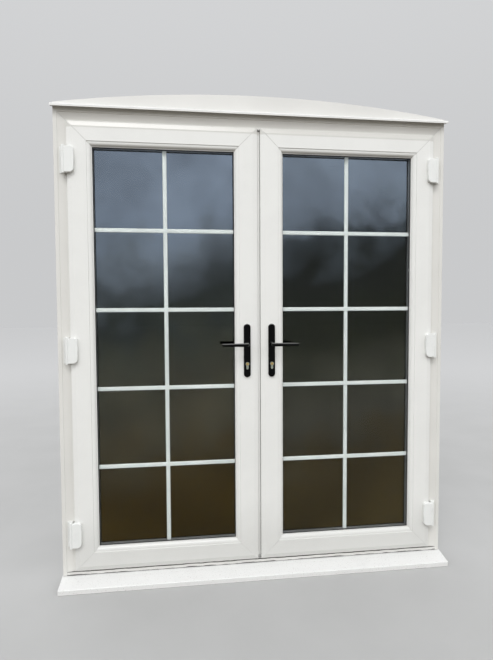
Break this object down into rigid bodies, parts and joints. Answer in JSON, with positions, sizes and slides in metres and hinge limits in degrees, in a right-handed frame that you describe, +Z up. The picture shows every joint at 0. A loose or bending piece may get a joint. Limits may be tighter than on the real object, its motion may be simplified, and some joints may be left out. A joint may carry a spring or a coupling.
{
  "type": "french doors",
  "caption": "Pair of white double glazed french doors in an outer frame, opening outwards, with bars inside the glass, lever handles, projecting cill and arched head panel.",
  "frame": {"origin": "middle of the cill's underside, in line with the front faces of the closed leaves", "axes": "+Z up, +Y from outdoors into the house, +X to the right seen from outdoors"},
  "size_m": [1.804, 0.2044, 2.197],
  "materials": {
    "white_profile": "smooth satin white plastic profile",
    "white_panel": "smooth white plastic sheet",
    "white_trim": "gloss white plastic trim",
    "threshold_white": "white powder coat",
    "frame_seal": "soft grey rubber",
    "black_gasket": "matt black rubber",
    "clear_glass": "clear glass, dark room tint",
    "spacer_metal": "mill finish",
    "white_bar": "white paint behind glass",
    "white_hinge": "white powder coat",
    "hinge_steel": "bright zinc",
    "lock_steel": "bright zinc plate",
    "black_handle": "satin black powder coat",
    "cylinder_nickel": "satin nickel plate",
    "cylinder_brass": "satin brass"
  },
  "bodies": {
    "frame": {"frame_head": "white_profile", "frame_jamb_left": "white_profile", "frame_jamb_right": "white_profile", "threshold": "threshold_white", "shootbolt_keeps": "lock_steel", "cill": "white_profile", "cill_end_caps": "white_trim", "arch_panel": "white_panel", "head_drip": "white_trim", "frame_outer_seal": "frame_seal", "frame_inner_seal": "frame_seal", "right_hinge_frame_parts": "white_hinge", "left_hinge_frame_parts": "white_hinge", "hinge_pins": "hinge_steel"},
    "left_leaf": {"left_top_rail": "white_profile", "left_bottom_rail": "white_profile", "left_hinge_stile": "white_profile", "left_meeting_stile": "white_profile", "left_outer_pane": "clear_glass", "left_inner_pane": "clear_glass", "left_spacer": "spacer_metal", "left_glazing_bars": "white_bar", "left_glazing_gaskets": "black_gasket", "left_glazing_beads": "white_profile", "left_hinge_flags": "white_hinge", "left_hinge_covers": "white_hinge", "left_handle_plates": "black_handle", "left_cylinder_body": "cylinder_nickel", "left_lock_case": "lock_steel", "left_floating_mullion": "white_profile", "left_lock_keeps": "lock_steel"},
    "right_leaf": {"right_top_rail": "white_profile", "right_bottom_rail": "white_profile", "right_hinge_stile": "white_profile", "right_meeting_stile": "white_profile", "right_outer_pane": "clear_glass", "right_inner_pane": "clear_glass", "right_spacer": "spacer_metal", "right_glazing_bars": "white_bar", "right_glazing_gaskets": "black_gasket", "right_glazing_beads": "white_profile", "right_hinge_flags": "white_hinge", "right_hinge_covers": "white_hinge", "right_handle_plates": "black_handle", "right_cylinder_body": "cylinder_nickel", "right_lock_cases": "lock_steel", "right_meeting_seal": "frame_seal"},
    "left_handle": {"left_outer_lever": "black_handle", "left_inner_lever": "black_handle", "left_spindle": "lock_steel"},
    "right_handle": {"right_outer_lever": "black_handle", "right_inner_lever": "black_handle", "right_spindle": "lock_steel"},
    "left_plug": {"left_cylinder_plug": "cylinder_brass"},
    "right_plug": {"right_cylinder_plug": "cylinder_brass"},
    "latch": {"latch_bolt": "lock_steel"},
    "hook_lower": {"hook_bolt_lower": "lock_steel"},
    "hook_upper": {"hook_bolt_upper": "lock_steel"},
    "bolt_top": {"shootbolt_top": "lock_steel"},
    "bolt_bottom": {"shootbolt_bottom": "lock_steel"}
  },
  "joints": [
    {"name": "left_leaf_hinge", "type": "hinge", "parent": "frame", "child": "left_leaf", "pos_m": [-0.853, -0.008, 1.05], "axis": [0, 0, -1], "range_deg": [0, 90]},
    {"name": "right_leaf_hinge", "type": "hinge", "parent": "frame", "child": "right_leaf", "pos_m": [0.853, -0.008, 1.05], "axis": [0, 0, 1], "range_deg": [0, 90]},
    {"name": "left_lever_turn", "type": "hinge", "parent": "left_leaf", "child": "left_handle", "pos_m": [-0.057, 0.035, 1.069], "axis": [0, -1, 0], "range_deg": [-40, 40], "stiffness_Nm_per_rad": 2, "springref_deg": -1.29},
    {"name": "right_lever_turn", "type": "hinge", "parent": "right_leaf", "child": "right_handle", "pos_m": [0.057, 0.035, 1.069], "axis": [0, 1, 0], "range_deg": [0, 45], "stiffness_Nm_per_rad": 2, "springref_deg": -11.46},
    {"name": "left_key_turn", "type": "hinge", "parent": "left_leaf", "child": "left_plug", "pos_m": [-0.057, 0.035, 0.977], "axis": [0, 1, 0], "continuous": true},
    {"name": "right_key_turn", "type": "hinge", "parent": "right_leaf", "child": "right_plug", "pos_m": [0.057, 0.035, 0.977], "axis": [0, 1, 0], "range_deg": [0, 360]},
    {"name": "latch_slide", "type": "slide", "parent": "right_leaf", "child": "latch", "axis": [1, 0, 0], "range_m": [0, 0.012]},
    {"name": "hook_lower_swing", "type": "hinge", "parent": "right_leaf", "child": "hook_lower", "pos_m": [0.046, 0.038, 0.56], "axis": [0, -1, 0], "range_deg": [0, 90]},
    {"name": "hook_upper_swing", "type": "hinge", "parent": "right_leaf", "child": "hook_upper", "pos_m": [0.046, 0.038, 1.5], "axis": [0, -1, 0], "range_deg": [0, 90]},
    {"name": "bolt_top_slide", "type": "slide", "parent": "left_leaf", "child": "bolt_top", "axis": [0, 0, 1], "range_m": [-0.02, 0.02]},
    {"name": "bolt_bottom_slide", "type": "slide", "parent": "left_leaf", "child": "bolt_bottom", "axis": [0, 0, -1], "range_m": [-0.02, 0.02]}
  ],
  "couplings": [
    {"joint": "latch_slide", "follows": "right_lever_turn", "m_per_rad": 0.0152},
    {"joint": "hook_lower_swing", "follows": "right_key_turn", "ratio": 0.2499},
    {"joint": "hook_upper_swing", "follows": "right_key_turn", "ratio": 0.2499},
    {"joint": "bolt_top_slide", "follows": "left_lever_turn", "m_per_rad": -0.0286},
    {"joint": "bolt_bottom_slide", "follows": "left_lever_turn", "m_per_rad": -0.0286}
  ]
}
